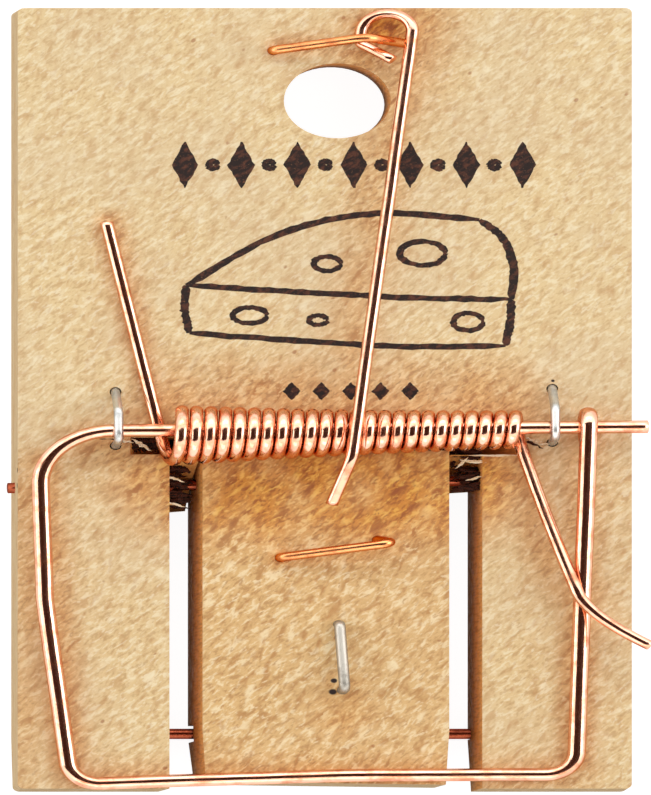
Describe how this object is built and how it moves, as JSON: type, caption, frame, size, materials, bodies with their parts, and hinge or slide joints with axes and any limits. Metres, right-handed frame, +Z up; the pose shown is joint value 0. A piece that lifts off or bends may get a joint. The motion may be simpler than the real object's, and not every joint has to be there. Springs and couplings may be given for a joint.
{
  "type": "snap mouse trap",
  "caption": "Wooden spring snap trap: sawn board with a rocking pedal, a sprung wire striker, a hold-down rod and staples.",
  "frame": {"origin": "centre of the board's underside, where it rests", "axes": "+X across the board to the side with the axle's free end, +Y along the board to the end with the hanging hole, +Z up out of the top face"},
  "size_m": [0.0561, 0.0982, 0.0157],
  "materials": {
    "baseboard": "sawn, untreated",
    "pedal": "sawn, untreated",
    "pivot_pin": "copper-plated steel wire",
    "stop_wire": "copper-plated steel wire",
    "striker": "copper-plated steel wire",
    "spring": "copper-plated steel wire",
    "hold_down_rod": "copper-plated steel wire",
    "rod_staple": "copper-plated steel wire",
    "catch_staple": "copper-plated steel wire",
    "bait_staple": "galvanised steel wire",
    "left_axle_staple": "galvanised steel wire",
    "right_axle_staple": "galvanised steel wire"
  },
  "bodies": {
    "base": {"baseboard": "baseboard", "pivot_pin": "pivot_pin", "stop_wire": "stop_wire", "spring": "spring", "rod_staple": "rod_staple", "left_axle_staple": "left_axle_staple", "right_axle_staple": "right_axle_staple"},
    "pedal": {"pedal": "pedal", "catch_staple": "catch_staple", "bait_staple": "bait_staple"},
    "striker": {"striker": "striker"},
    "hold_down_rod": {"hold_down_rod": "hold_down_rod"}
  },
  "joints": [
    {"name": "pedal_rock", "type": "hinge", "parent": "base", "child": "pedal", "pos_m": [0, -0.01035, 0.004], "axis": [0.9997, 0.0244, 0], "range_deg": [0, 1.8]},
    {"name": "striker_swing", "type": "hinge", "parent": "base", "child": "striker", "pos_m": [0, -0.00404, 0.01065], "axis": [-0.9999, -0.0105, 0], "range_deg": [0, 177], "stiffness_Nm_per_rad": 0.08, "springref_deg": -34.38, "deforming": ["spring"]},
    {"name": "rod_swing", "type": "hinge", "parent": "base", "child": "hold_down_rod", "pos_m": [0.00563, 0.04724, 0.01175], "axis": [-0.9946, 0.1037, 0], "range_deg": [0, 45]}
  ]
}
